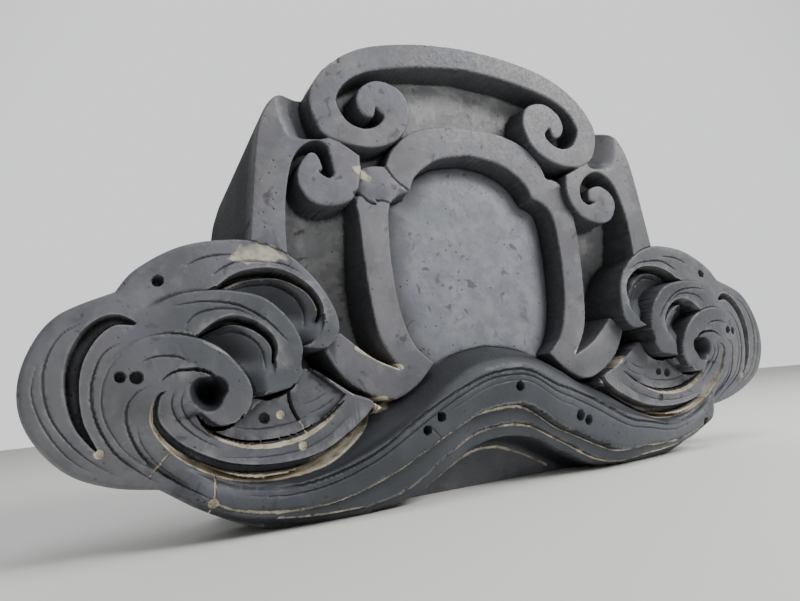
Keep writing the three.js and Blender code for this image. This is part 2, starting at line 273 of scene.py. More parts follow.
def band_line(name, x):
    p = run(*zip(BAND_X, BAND_LINES[name]), step=2)
    return np.interp(np.abs(x), p[:, 0], p[:, 1])


# Strokes cut into the face: knots, width, depth, where the widest place is, lime on its lower side
STROKES = [
    # slits beside the inner leaves of the claws and inside the outer lobe
    (((194, 141), (178, 149), (156, 150), (138, 140), (131, 126), (136, 116)), 6.5, 24, 0.45, 0),
    (((206, 113), (188, 121), (172, 116), (163, 105), (165, 92)), 5.5, 20, 0.45, 0),
    (((236, 121), (248, 124.5), (259, 118), (267, 104), (269, 88), (266, 70), (257, 54)), 8.5, 17, 0.3, 0),
    (((226, 89), (219, 93.5), (208, 94), (199, 90.5), (191, 80)), 2.4, 4.0, 0.6, 0),
    # the two spiral grooves
    (((222, 84), (228, 80), (229, 66), (216, 50), (192, 36.5), (164, 32), (136, 35.5), (113, 47.5), (99, 60), (98, 68), (106, 73)),
     9.4, 12, 0.5, 1),
    (((209, 72), (201, 59), (180, 49.5), (153, 49.5), (132, 58), (117, 70)), 4.6, 7, 0.55, 1),
    # gaps under the tips of the claws, and the rims of the two inner leaves
    (((147, 86), (150.5, 80.5), (158, 76.5), (167, 75), (177, 76)), 3.2, 20, 0.5, 0),
    (((183, 67), (187, 62), (196, 60), (203, 62.5), (208, 69)), 2.6, 14, 0.5, 0),
    (((187, 140), (172, 144), (157, 143), (145, 135), (140, 125), (142, 115)), 1.7, 1.7, 0.5, 0),
    (((197, 113), (186, 115), (175, 110), (169, 101), (169, 90)), 1.7, 1.6, 0.5, 0),
    # lines of flow
    (((262, 124), (273, 118), (280, 106), (282, 92), (279, 76), (271, 62), (260, 50), (247, 40)),
     1.7, 1.5, 0.4, 0),
    (((284, 104), (287, 90), (284, 76), (277, 62), (268, 51), (257, 43)), 1.5, 1.1, 0.5, 0),
    (((244, 111.5), (253, 107), (258, 97), (260, 84), (257, 68), (249, 53), (239, 43), (227, 33)),
     2.0, 2.0, 0.4, 0),
    (((241, 108), (249, 101), (254.5, 88), (254, 72), (246, 56), (235, 45), (222, 36)), 1.4, 1.0, 0.4, 0),
    (((231, 87), (238, 84), (243, 77), (243, 66), (238, 53), (230, 43), (219, 34), (206, 25), (199, 20)),
     2.0, 1.9, 0.4, 0),
    (((239, 66), (236, 56), (228, 44.5), (217, 35)), 1.4, 1.0, 0.4, 0),
    (((236, 100), (228, 102.5), (218, 102), (211, 98.5)), 1.8, 1.8, 0.5, 0),
    (((219, 84), (221, 76), (217, 66), (208, 57), (196, 49)), 1.6, 1.5, 0.4, 0),
    (((214, 84), (216, 76), (212, 67), (203, 58), (194, 52.5)), 1.5, 1.3, 0.4, 0),
    (((219, 130), (205, 132), (192, 131.5), (180, 128.5), (168, 121), (160, 113), (154, 105)),
     1.9, 1.9, 0.5, 0),
    (((212, 119), (206, 125), (196, 127.5), (184, 127), (174, 122.5)), 1.7, 1.6, 0.4, 0),
    (((209, 155), (202, 159), (192, 161.5), (180, 162)), 1.7, 1.7, 0.5, 0),
    (((195, 149), (188, 154), (180, 157.5), (168, 158), (152, 156), (141, 150)), 1.9, 2.0, 0.3, 0),
    (((190, 61), (180, 58), (170, 57), (160, 57.5), (150, 59), (140, 63)), 1.4, 1.1, 0.5, 0),
    (((146, 68), (136, 71), (127, 76)), 1.3, 0.9, 0.5, 0),
    (((144, 62), (132, 66), (121, 73)), 1.3, 0.9, 0.5, 0),
    (((198, 44.5), (186, 42.5), (168, 41), (148, 42.5), (130, 49), (114, 60)), 1.5, 1.0, 0.5, 0),
    # lines along the lower wave
    (((205, 33), (186, 25.5), (160, 22), (136, 25), (110, 33.5), (88, 45), (66, 57), (44, 67.5), (20, 75.5),
      (0, 77.5)), 2.0, 1.8, 0.8, 0),
    (((198, 26), (180, 20.5), (158, 18), (134, 21), (108, 30), (86, 41.5), (64, 53.5), (42, 64), (20, 72),
      (0, 74)), 1.5, 1.2, 0.8, 0),
    (((60, 51), (40, 60), (20, 67.5), (0, 69.8)), 1.2, 0.6, 0.8, 0),
]
# Bored holes: x, z, radius, lime inside; a negative x is on the left fin
HOLES = [
    (225, 146, 3.0, 0), (-225, 146, 3.0, 0), (246, 93, 2.8, 0), (-246, 93, 2.7, 0), (237.5, 94, 2.9, 0),
    (-238, 92, 3.2, 0), (169, 63, 3.0, 0), (-169, 63, 3.0, 0.3), (-159, 64, 2.6, 1), (159.5, 64.5, 2.6, 0.4),
    (257, 54, 2.4, 1), (-257, 54, 2.4, 1), (-148.5, 44.5, 2.6, 1), (150, 44, 2.4, 0.6), (-201, 19.5, 2.8, 1),
    (199, 19.5, 2.6, 0.3), (-60, 51.5, 2.9, 0), (-71, 44.3, 2.7, 0), (54, 50, 2.9, 0), (61, 46, 2.6, 0),
    (4.5, 65.4, 2.9, 0),
]
# Cracks: knots, width, depth, lime
CRACKS = [
    (((-71, 228), (-64, 218), (-54, 210.5)), 0.8, 2.5, 0),
    (((-94, 200.5), (-90.5, 203), (-87.5, 203), (-84.5, 199.8), (-81.2, 199)), 1.2, 5.0, 0),
    (((-79.3, 201.3), (-75, 202), (-70.5, 200.6)), 0.8, 2.5, 0),
    (((-153, 80), (-153, 72), (-151, 65), (-148.5, 60)), 1.2, 6.0, 0),
    (((-148.5, 60), (-146, 56), (-144, 51)), 0.7, 0.8, 0.9),
    (((-199, 34), (-200, 27), (-201, 19), (-204, 10)), 0.7, 1.0, 0.8),
    (((-222, 51), (-228, 44), (-233, 38)), 0.7, 1.0, 0.8),
    (((-69, 46), (-62, 40), (-58, 36)), 0.6, 0.8, 0.2),
]
EYE = (198, 82.5)     # deep centre of the fin's spiral
# Lime left on the tile: lines with half width and amount on both sides, then patches on one side
LIME_LINES = [
    (((0, 52.0), (25, 49.3), (50, 39.1), (75, 27.5), (100, 17.4), (130, 9.6), (150, 8.3), (165, 8.9),
      (180, 11.6), (190, 14.4), (198, 18.5)), 0.5, 0.75, 0.85),
    (((0, 39.2), (25, 36.1), (50, 24.0), (75, 10.0), (100, 3.2), (118, 2.6), (150, 3.6), (165, 5.2)),
     0.45, 0.55, 0.9),
    (((0, 22.5), (12, 21.3), (30, 14.5), (45, 7), (53, 2.5)), 0.6, 0.7, 1.0),
    (((76, 86), (86, 90), (97, 95.5), (106, 101)), 1.5, 0.85, 0),
    (((74, 86), (78, 89.5), (82, 92)), 0.8, 0, 0.8),
    (((44, 17), (58, 9.5), (72, 2.8)), 0.6, 0.7, 0),
    (((186, 143), (170, 148), (158, 148), (146, 143), (136, 134), (133, 126)), 0.5, 0.5, 0),
    (((196, 117), (186, 119), (176, 116), (168, 110), (165, 103)), 0.5, 0.5, 0),
    (((203, 109), (190, 101), (182, 93), (177, 82)), 0.6, 0.45, 0),
    (((112, 72), (118, 76), (124, 82)), 0.9, 0.5, 0.7),
]
LIME_PATCHES = [
    (((-90, 219.5), (-87, 222), (-82.5, 221.5), (-79, 217.5), (-81.5, 214.5), (-88, 216)), 0.6),
    (((-78, 66), (-86, 66.5), (-95, 69), (-99, 66), (-97, 58), (-88, 60)), 0.75),
    (((-78, 86), (-86, 89), (-95, 93), (-103, 98), (-96, 93), (-86, 87)), 0.8),
]
CHIP = ((-186, 159), (-176, 168), (-165, 170), (-155, 167), (-149, 160), (-157, 157.5), (-174, 157))
CREST_CHIP = ((-107, 298.5), (-105.5, 302.5), (-103, 303.5), (-102.5, 299.5))


# Relief of the front
def relief(q):
    """Forward depth t of the front at each point of q, which lies in the right half."""
    x, z = q.T
    d_of, in_of = {}, {}
    for name, outline in (("frame", FRAME), ("panel", PANEL), ("crest", CREST), ("side", SIDE_SCROLL),
                          ("fin", FIN), ("lobe", LOBE), ("two", CLAW_TWO), ("three", CLAW_THREE),
                          ("leaf1", LEAF_ONE), ("leaf2", LEAF_TWO), ("pool", POOL)):
        d, _, _, _ = nearest(q, outline, True, margin=30)
        within = inside(q, outline) | (d < 0.02)
        d_of[name], in_of[name] = d, within
    d_edge = np.where(in_of["fin"], d_of["fin"], 0)

    def arris(d, radius=ARRIS):
        w = np.clip(1 - d / radius, 0, 1)
        return -radius * (1 - np.sqrt(np.maximum(1 - w * w, 0)))

    t = np.interp(z, [60, 150, 192, 240, 300], [SIDE_GROUND, SIDE_GROUND, -23, PEDIMENT_GROUND, PEDIMENT_GROUND])
    t = t + 0.5 * noise(x, z, 16, 3)

    # panel: a cushion that falls away quickly beside the frame
    rise = 1 - np.clip(1 - d_of["panel"] / 42, 0, 1) ** 3.2
    t = np.where(in_of["panel"], PANEL_EDGE - 4 + (PANEL_CROWN - PANEL_EDGE + 4) * rise, t)

    # wave band
    lines = {name: band_line(name, x) for name in BAND_LINES}
    fade = smooth(85, 190, x)
    depth = {name: BAND_DEPTHS[name] * (1 - fade) + FIN_DEPTHS[name] * fade for name in BAND_LINES}
    step_back = 9.0 * (1 - fade) + 2.0 * fade
    line_back = 4.0 * (1 - fade) + 1.5 * fade

    def between(upper, lower, t_upper, t_lower, bulge):
        w = np.clip((lines[upper] - z) / np.maximum(lines[upper] - lines[lower], 1), 0, 1)
        return t_upper + (t_lower - t_upper) * w + bulge * np.sin(np.pi * w)

    band = between("top", "shoulder", depth["top"], depth["shoulder"], 2.0)
    band = np.where(z < lines["shoulder"],
                    between("shoulder", "rim", depth["shoulder"], depth["rim"], 0.9), band)
    band = np.where(z < lines["rim"], between("rim", "step", depth["rim"], depth["step"], 1.6), band)
    below = between("step", "line", depth["step"] - step_back, depth["line"] + 1, 0.8)
    band = np.where(z < lines["step"], below, band)
    low = between("line", "lip", depth["line"] + 1 - line_back, depth["lip"], 0.4)
    band = np.where(z < lines["line"], low, band)
    under = np.clip((lines["lip"] - z) / 9.0, 0, 1)
    arch = depth["lip"] - (28 + depth["lip"]) * np.sqrt(np.clip(1 - (1 - under) ** 2, 0, 1))
    arch = np.where(x > 105, depth["lip"] - 6 * under, arch)
    band = np.where(z < lines["lip"], arch, band)
    in_band = (z <= lines["top"] + 0.01) & (x <= 228) & (in_of["fin"] | (x < 110))

    # fins: a domed sheet, with the lower swirl, the pool and the curled claws on it
    sheet = (5.0 + 9.5 * np.exp(-((x - 214) / 42) ** 2 - ((z - 98) / 34) ** 2)
             + 6.0 * smooth(178, 140, x) * smooth(152, 112, z)
             - 11.0 * smooth(60, 26, z) * smooth(160, 215, x))
    swirl = 7.0 - 5.0 * smooth(150, 108, x)
    fin = np.where(z < 94, sheet + (swirl - sheet) * smooth(228, 204, x), sheet)
    pool = 0.5 - 5.0 * smooth(150, 118, x) * smooth(74, 92, z)
    fin = np.where(in_of["pool"], fin + (pool - fin) * smooth(207, 186, x), fin)
    outer = 7.5 + (sheet - 7.5) * smooth(126, 106, z)
    base = 3.0 - 9.0 * smooth(112, 128, z)
    leaf = base + (outer - base) * smooth(0, 10 + 16 * smooth(104, 126, z), d_of["two"])
    fin = np.where(in_of["leaf1"], leaf, fin)
    on = smooth(240, 208, x)
    two = sheet + (14.0 - sheet + arris(d_of["two"], 1.6)) * on
    fin = np.where(in_of["two"], two, fin)
    outer = 11.0 + (two - 11.0) * smooth(98, 84, z)
    base = 7.0 - 11.0 * smooth(90, 104, z)
    leaf = base + (outer - base) * smooth(0, 9 + 10 * smooth(84, 100, z), d_of["three"])
    fin = np.where(in_of["leaf2"], leaf, fin)
    on = smooth(258, 226, x) * np.maximum(smooth(68, 84, z), smooth(212, 204, x) * smooth(50, 60, z))
    three = sheet + (13.5 - sheet + arris(d_of["three"], 1.6)) * on
    fin = np.where(in_of["three"], three, fin)
    free = smooth(172, 190, x)
    fin = fin + (-1.2 * np.clip(1 - d_edge / 7, 0, 1) ** 2 + arris(d_edge, 3.0)) * free
    fin = fin + arris(d_edge, 1.5) * (1 - free)
    eye_x, eye_z = x - EYE[0], z - EYE[1]
    eye = np.hypot(eye_x, eye_z)
    gentle = smooth(-0.3, 0.9, (0.85 * eye_x - 0.5 * eye_z) / np.maximum(eye, 0.1))
    fin = fin - 32 * smooth(7.8, 0.2, eye / (1 + 0.9 * gentle))

    t = np.where(in_of["fin"], fin, t)
    merge = smooth(196, 226, x)
    t = np.where(in_band, band + (np.where(in_of["fin"], fin, band) - band) * merge, t)

    # frame, pediment and shoulder scrolls
    frame_t = FRAME_FACE + arris(d_of["frame"])
    t = np.where(in_of["frame"], np.maximum(t, frame_t), t)
    side_t = SCROLL_FACE + arris(d_of["side"])
    dip = -18.0 * smooth(24, 0, d_of["crest"]) * smooth(112, 122, x) * smooth(236, 246, z)
    side_t = side_t + np.where(in_of["crest"], 0, dip)
    t = np.where(in_of["side"] & ~in_of["fin"], side_t, t)
    t = np.where(in_of["crest"], CREST_FACE + arris(d_of["crest"]), t)
    return np.minimum(t, BAND_DEPTHS["rim"])


def stroke_half(u, width, peak, open_end):
    """Half width of a stroke and its taper at the place u along it."""
    warped = np.where(u < peak, 0.5 * u / peak, 0.5 + 0.5 * (u - peak) / (1 - peak))
    taper = smooth(0, 0.25, u) if open_end else np.clip(np.sin(np.pi * np.clip(warped, 0, 1)), 0, 1) ** 0.6
    return np.maximum(0.5 * width * taper, 0.35), taper


def stroke_edges(knots, width, peak):
    """The two edges of a stroke, as open lines."""
    line = run(*knots)
    along = np.gradient(line, axis=0)
    normal = np.stack([-along[:, 1], along[:, 0]], 1) / np.hypot(*along.T)[:, None]
    half, _ = stroke_half(np.linspace(0, 1, len(line)), width, peak, knots[-1][0] == 0)
    return [line + normal * half[:, None], line - normal * half[:, None]]


def cut_strokes(q, t):
    """The strokes cut into the relief, and the amount of lime they hold."""
    lime = np.zeros(len(q))
    for knots, width, deep, peak, limed in STROKES:
        line = run(*knots)
        d, _, u, side = nearest(q, line, False, margin=width)
        half, taper = stroke_half(u, width, peak, knots[-1][0] == 0)
        share = d / half
        cut = 1 - smooth(0.45, 1.0, share) if width < 4 else 1 - smooth(0.72, 0.98, share)
        if limed: # a deep slot along the inner side and a lime-covered ledge along the outer one
            ledge = 0.42 * (1 - smooth(0.72, 0.98, share)) + 0.58 * smooth(0.28, 0.05, share)
            cut = np.where(side > 0, ledge, 1 - smooth(0.72, 0.98, share))
            covered = smooth(0.05, 0.25, share) * smooth(1.3, 1.0, share)
            lime = np.maximum(lime, np.where(side > 0, taper * covered, 0))
        t = t - deep * taper * cut
    return t, lime


# Grid of the right half, its points moved onto the outlines and the strokes
nx, nz = int(REACH_X / GRID) + 1, int((REACH_Z - FOOT) / GRID) + 1
gx, gz = np.meshgrid(np.arange(nx) * GRID, FOOT + np.arange(nz) * GRID, indexing="ij")
grid = np.stack([gx.ravel(), gz.ravel()], 1)
body_in = inside(grid, TRUNK) | inside(grid, FIN)
d_trunk, n_trunk, _, _ = nearest(grid, TRUNK, True, margin=3)
d_fin, n_fin, _, _ = nearest(grid, FIN, True, margin=3)

moved = grid.copy()
reach = np.full(len(grid), 0.56 * GRID)
contours = [(TRUNK, True), (FIN, True), (CREST, True), (SIDE_SCROLL, True), (FRAME, True), (CLAW_TWO, True),
            (CLAW_THREE, True), (LEAF_ONE, True), (LEAF_TWO, True), (POOL, True)]
contours += [(np.stack([np.linspace(0, 228, 200), band_line(name, np.linspace(0, 228, 200))], 1), False)
             for name in ("top", "step", "line", "lip")]
for knots, width, _, peak, _ in STROKES:
    lines_here = stroke_edges(knots, width, peak) if width > 4 else [run(*knots)]
    contours += [(line, False) for line in lines_here]
contours += [(run(*((abs(x), z) for x, z in knots)), False) for knots, _, _, _ in CRACKS]
for line, closed in contours:
    d, near, _, _ = nearest(grid, line, closed, margin=2)
    hit = (d < reach)
    moved[hit] = near[hit]
    reach[hit] = d[hit]

outer = np.minimum(d_trunk, d_fin)
kept = body_in | (outer < 0.56 * GRID)
kept &= ~((gx.ravel() > 172 + GRID) & (gz.ravel() < FOOT + 0.1) & (d_fin > 0.5 * GRID))
kept = kept.reshape(nx, nz)
cell = kept[:-1, :-1] & kept[1:, :-1] & kept[:-1, 1:] & kept[1:, 1:]

# The points on the perimeter lie exactly on the nearer outline
around = np.zeros((nx + 1, nz + 1), bool)
around[1:-1, 1:-1] = cell
full = around[:-1, :-1] & around[1:, :-1] & around[:-1, 1:] & around[1:, 1:]
touch = around[:-1, :-1] | around[1:, :-1] | around[:-1, 1:] | around[1:, 1:]
rim_points = (touch & ~full).ravel() & (gx.ravel() > 0) & (gz.ravel() > FOOT + 0.1)
in_fin, in_body = inside(grid, FIN), inside(grid, TRUNK)
to_fin = (d_fin < 1.6 * GRID) & ((d_fin < d_trunk) | (in_body & ~in_fin)) & ~(in_fin & (d_trunk < d_fin))
to_trunk = (d_trunk < 1.6 * GRID) & ~to_fin
moved[rim_points & to_fin] = n_fin[rim_points & to_fin]
moved[rim_points & to_trunk] = n_trunk[rim_points & to_trunk]
moved[gx.ravel() == 0, 0] = 0
moved[gz.ravel() == FOOT, 1] = FOOT
moved[:, 1] = np.maximum(moved[:, 1], FOOT)

front_t = relief(moved)
front_t, lime_half = cut_strokes(moved, front_t)


def back_depth(q, t_front):
    """Depth of the back: fins, the trunk's walls and the hollow between them."""
    in_trunk = inside(q, TRUNK) | (nearest(q, TRUNK, True, margin=3)[0] < 0.02)
    hollow = inside(q, HOLLOW)
    t = np.where(in_trunk, TRUNK_BACK, FIN_BACK)
    return np.where(hollow, CAVITY_FRONT, t)


back_t = back_depth(moved, front_t)

# Faces: the half grid, its mirror image, and the perimeter wall between front and back
ids = np.arange(nx * nz).reshape(nx, nz)
ci, cj = np.nonzero(cell)
a, b, c, d = ids[ci, cj], ids[ci + 1, cj], ids[ci + 1, cj + 1], ids[ci, cj + 1]
pa, pb, pc, pd = moved[a], moved[b], moved[c], moved[d]


def turned(p, q, r):
    return (q[:, 0] - p[:, 0]) * (r[:, 1] - p[:, 1]) - (q[:, 1] - p[:, 1]) * (r[:, 0] - p[:, 0])


ta, tb, tc, td = front_t[a], front_t[b], front_t[c], front_t[d]
bend_ac = np.abs(ta - tc)
bend_bd = np.abs(tb - td)
use_ac = bend_ac <= bend_bd
bad_ac = (turned(pa, pb, pc) <= 1e-6) | (turned(pa, pc, pd) <= 1e-6)
bad_bd = (turned(pa, pb, pd) <= 1e-6) | (turned(pb, pc, pd) <= 1e-6)
use_ac = np.where(bad_ac, False, np.where(bad_bd, True, use_ac))
first = np.where(use_ac[:, None], np.stack([a, b, c], 1), np.stack([a, b, d], 1))
second = np.where(use_ac[:, None], np.stack([a, c, d], 1), np.stack([b, c, d], 1))
half_faces = np.concatenate([first, second])

count = nx * nz
mirrored = moved * [-1, 1]
points_q = np.concatenate([moved, mirrored, moved, mirrored])
points_t = np.concatenate([front_t, front_t, back_t, back_t])
left = half_faces[:, ::-1] + count
front_faces = np.concatenate([half_faces, left])
back_faces = front_faces[:, ::-1] + 2 * count
middle = np.flatnonzero(gx.ravel() == 0)
weld = np.arange(4 * count)
weld[middle + count] = middle
weld[middle + 3 * count] = middle + 2 * count
front_faces, back_faces = weld[front_faces], weld[back_faces]

edges = np.concatenate([front_faces[:, [0, 1]], front_faces[:, [1, 2]], front_faces[:, [2, 0]]])
key = edges[:, 0].astype(np.int64) * (4 * count) + edges[:, 1]
opposite = edges[:, 1].astype(np.int64) * (4 * count) + edges[:, 0]
rim = edges[~np.isin(key, opposite)]
back_rim = weld[rim + 2 * count]

# Details that differ between the two sides: bored holes, cracks, chips
signed = points_q.copy()
is_front = np.arange(4 * count) < 2 * count
for hx, hz, radius, filled in HOLES:
    away = np.hypot(signed[:, 0] - hx, signed[:, 1] - hz)
    bored = (11 - 9.5 * filled) * smooth(radius + 0.3, radius - 0.7, away)
    points_t = np.where(is_front, points_t - bored, points_t)
fq, ft = signed[is_front], points_t[is_front]
for knots, width, deep, _ in CRACKS:
    dist, _, _, _ = nearest(fq, run(*knots, step=0.8), False, margin=width + 1)
    wander = 0.12 * noise(fq[:, 0], fq[:, 1], 2.5, 11)
    ft = ft - deep * (1 - smooth(0.3 * width, width, dist + wander))
points_t[is_front] = ft


# Lime, chips and the wave's darker slate as amounts of 0 to 1 at each point
def spread(line, width, soft=1.0, closed=False):
    """1 within the given half width of a line, fading out over the soft distance."""
    dist, _, _, _ = nearest(signed, line, closed, margin=width + soft + 2)
    ragged = dist + 0.3 * noise(signed[:, 0], signed[:, 1], 3.0, 21)
    return 1 - smooth(width, width + soft, ragged)


def patch(outline, soft=1.2):
    """1 within an outline, with a ragged edge."""
    dist, _, _, _ = nearest(signed, outline, True, margin=soft + 3)
    dist = np.where(inside(signed, outline), -dist, dist)
    return 1 - smooth(-soft, soft, dist + 1.1 * noise(signed[:, 0], signed[:, 1], 4.0, 5))


lime = np.concatenate([lime_half] * 4)
left_side = signed[:, 0] < 0
lime = lime * np.where(left_side, 1.0, 0.75)
for knots, width, on_left, on_right in LIME_LINES:
    line = run(*knots, step=2)
    breaks = 0.8 + 0.45 * noise(signed[:, 0], signed[:, 1], 9.0, 31)
    both = np.maximum(on_right * spread(line, width, 0.7), on_left * spread(line * [-1, 1], width, 0.7))
    lime = np.maximum(lime, np.clip(breaks * both, 0, 1))
for outline, amount in LIME_PATCHES:
    lime = np.maximum(lime, amount * patch(np.array(outline, float)))
for hx, hz, radius, filled in HOLES:
    away = np.hypot(signed[:, 0] - hx, signed[:, 1] - hz)
    lime = np.maximum(lime, filled * (1 - smooth(radius - 0.4, radius + 0.4, away)))
for knots, width, _, limed in CRACKS:
    lime = np.maximum(lime, limed * spread(run(*knots, step=1), 0.4 * width, 0.4))
chip = patch(np.array(CHIP, float), 0.8)
chip = np.maximum(chip, patch(np.array(CREST_CHIP, float), 0.5))
lime, chip = lime * is_front, chip * is_front
points_t = np.where(is_front, points_t - 1.6 * chip - 0.3 * lime * (chip < 0.1), points_t)
wide_x = np.abs(signed[:, 0])
band_top = band_line("top", wide_x)
slate = smooth(4, -4, signed[:, 1] - band_top) * smooth(232, 205, wide_x)
slate = slate * (1 - 0.55 * smooth(-8, -10, signed[:, 1] - band_line("lip", wide_x)) * (wide_x < 80))
claw_tip = smooth(30, 14, np.hypot(wide_x - 140, signed[:, 1] - 120))
slate = np.maximum(slate, 0.9 * claw_tip)
slate = slate * (1 - 0.3 * smooth(110, 180, wide_x))
slate = np.maximum(slate, 0.5 * smooth(40, 25, np.hypot((wide_x - 150) / 1.5, signed[:, 1] - 70)))
claws = np.hypot((wide_x - 178) / 1.5, signed[:, 1] - 106)
slate = np.maximum(slate, 0.62 * smooth(44, 24, claws) + 0.22 * smooth(110, 120, wide_x) * (signed[:, 1] < 172))
slate = np.maximum(slate, 0.85 * smooth(19, 11, np.hypot(wide_x - 158, signed[:, 1] - 130) - 8))


def blurred(values, size):
    """Mean over a square window on the half grid."""
    field = np.pad(values.reshape(nx, nz), size, mode="edge")
    total = np.pad(field.cumsum(0).cumsum(1), ((1, 0), (1, 0)))
    w = 2 * size + 1
    window = total[w:, w:] - total[:-w, w:] - total[w:, :-w] + total[:-w, :-w]
    return (window / w**2).ravel()


def highest(values):
    """The highest value among each point of the half grid and its eight neighbours."""
    field = np.pad(values.reshape(nx, nz), 1, mode="edge")
    shifts = [field[i:i + nx, j:j + nz] for i in range(3) for j in range(3)]
    return np.maximum.reduce(shifts).ravel()


solid_share = blurred(kept.ravel().astype(float), 5)
level = np.where(kept.ravel(), front_t, 0)
around_level = blurred(level, 5) / np.maximum(solid_share, 0.05)
# painted shade: points lying below their surroundings are marked to be darkened as if shade fell into the recess
painted_recess_shade_half = np.clip((around_level - front_t) / 9, 0, 1)
near_level = blurred(level, 1) / np.maximum(blurred(kept.ravel().astype(float), 1), 0.1)
worn_half = np.clip((front_t - near_level - 0.15) / 1.2, 0, 1)
slope_x, slope_z = np.gradient(np.where(kept, front_t.reshape(nx, nz), 0), GRID)
# painted shade: steep walls below a carved edge are marked to be coloured near black, standing for the shade on the
# walls; wear is kept off them
painted_wall_shade_half = smooth(0.8, 2.4, np.hypot(slope_x, slope_z).ravel()) * (blurred(kept.ravel().astype(float), 2) > 0.99)
below_edge = highest(highest(np.where(kept.ravel(), front_t, -FAR))) - front_t
painted_wall_shade_half = highest(painted_wall_shade_half) * smooth(0.4, 1.1, below_edge)
painted_wall_shade = np.concatenate([painted_wall_shade_half, painted_wall_shade_half, painted_wall_shade_half * 0, painted_wall_shade_half * 0])
painted_recess_shade = np.concatenate([painted_recess_shade_half, painted_recess_shade_half, painted_recess_shade_half * 0, painted_recess_shade_half * 0])
worn_half = worn_half * (1 - 0.8 * painted_wall_shade_half)
worn = np.concatenate([worn_half, worn_half, worn_half * 0, worn_half * 0])


def by_hand(q, t):
    """What the hand left uneven: the wave band sags on the right, the left small scroll sits higher and out."""
    x, z = q.T
    heights = [band_line(name, x) for name in BAND_LINES]
    drops = [BAND_SAG[name] for name in BAND_LINES]
    drop = np.zeros(len(x))
    for (high, top_drop), (low, low_drop) in zip(zip(heights, drops), zip(heights[1:], drops[1:])):
        share = np.clip((high - z) / np.maximum(high - low, 0.5), 0, 1)
        drop = np.where(z < high, top_drop + (low_drop - top_drop) * share, drop)
    drop = np.where(z < heights[-1], BAND_SAG["lip"] * smooth(-10, 0, z - heights[-1]), drop)
    drop = drop * smooth(6, 42, x) * smooth(135, 84, x) * (t > SIDE_GROUND)
    out = 13.0 * np.exp(-((x + 104) / 22) ** 2 - ((z - 216) / 18) ** 2)
    lift = 11.0 * np.exp(-((x + 115) / 24) ** 2 - ((z - 214) / 28) ** 2) * smooth(250, 232, z)
    front = t > CAVITY_FRONT
    return np.stack([x - out * front, np.maximum(z - drop + lift * front, FOOT)], 1)


def in_space(q, t):
    """Drawing coordinates to the row frame in metres, with the flare of the trunk behind its ground."""
    x, z = q.T
    share = np.clip((PEDIMENT_GROUND - t) / (PEDIMENT_GROUND - TRUNK_BACK), 0, 1)
    trunk_part = smooth(205, 180, np.abs(x))
    wide = x * (1 + (FLARE - 1) * share * trunk_part)
    drop = BACK_DROP * smooth(190, 262, z) * share
    y_back = cad_box[1][1] * 1000 + TRUNK_BACK
    return np.stack([wide, y_back - t, z - drop - FOOT], 1) / 1000


# Perimeter wall: rings between the front and the back, the first one just behind the front's edge
in_panel = inside(signed, PANEL) & (points_t < FRAME_FACE - 5) & (signed[:, 1] > band_top)
# painted sheen: the panel's crown, away from its edge, is marked for a bluish painted reflection
painted_panel_sheen = in_panel * smooth(2, 26, nearest(signed, PANEL, True, margin=2)[0])
# the recessed grounds are painted lighter: partly lichen and dust, partly painted light standing for the light they
# get
ground_dust_and_light = 1.0 * is_front * (points_t < PEDIMENT_GROUND + 3) * ~in_panel * (wide_x < 150) * (signed[:, 1] > band_top + 2)
marks = np.stack([lime, chip, slate, painted_recess_shade, worn, painted_wall_shade, painted_panel_sheen, ground_dust_and_light], 1)
soot = np.zeros(4 * count)
soot[~is_front] = 1
ring_of = np.unique(rim)
place_of = np.full(4 * count, -1)
place_of[ring_of] = np.arange(len(ring_of))
rim_t, rim_back = points_t[ring_of], points_t[weld[ring_of + 2 * count]]
rings = [ring_of]
for depth_at in (rim_t - 1.5, np.minimum(rim_t - 3, PEDIMENT_GROUND), np.minimum(rim_t - 6, FIN_BACK + 8)):
    rings.append(len(points_t) + np.arange(len(ring_of)))
    points_q = np.concatenate([points_q, points_q[ring_of]])
    points_t = np.concatenate([points_t, np.maximum(depth_at, rim_back + 0.2)])
    marks = np.concatenate([marks, marks[ring_of] * [0.4 * (len(rings) == 2), 0, 1, 0, 0, 0, 0, 0]])
    soot = np.concatenate([soot, np.ones(len(ring_of))])
rings.append(weld[ring_of + 2 * count])
walls = []
for near_ring, far_ring in zip(rings[:-1], rings[1:]):
    p0, p1 = near_ring[place_of[rim[:, 0]]], near_ring[place_of[rim[:, 1]]]
    q0, q1 = far_ring[place_of[rim[:, 0]]], far_ring[place_of[rim[:, 1]]]
    walls += [np.stack([p1, p0, q0], 1), np.stack([p1, q0, q1], 1)]
faces = np.concatenate([front_faces, back_faces, *walls])
marks = np.concatenate([marks, soot[:, None]], 1)

used, faces = np.unique(faces, return_inverse=True)
faces = faces.reshape(-1, 3)
xyz = in_space(by_hand(points_q[used], points_t[used]), points_t[used])
marks = marks[used]

mesh = bpy.data.meshes.new("tile")
mesh.from_pydata(xyz.tolist(), [], faces.tolist())
for k, name in enumerate(("lime", "chip", "slate", "painted_recess_shade", "worn", "painted_wall_shade", "painted_panel_sheen", "ground_dust_and_light", "soot")):
    mesh.attributes.new(name, "FLOAT", "POINT").data.foreach_set("value", marks[:, k].astype(np.float32))
mesh.validate()
mesh.update()
tile = bpy.data.objects.new("fired_tile", mesh)
bpy.context.collection.objects.link(tile)
print("tile before decimation", len(mesh.vertices), len(mesh.polygons))

bpy.context.view_layer.objects.active = tile
thin = tile.modifiers.new("thin", "DECIMATE")
thin.ratio = min(1.0, MOST_TRIANGLES / len(mesh.polygons))
bpy.ops.object.modifier_apply(modifier="thin")
mesh = tile.data
print("tile after decimation", len(mesh.vertices), len(mesh.polygons))
mesh.shade_smooth()
mesh.set_sharp_from_angle(angle=math.radians(42))

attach(tile, "root")
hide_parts("roof_end_tile")


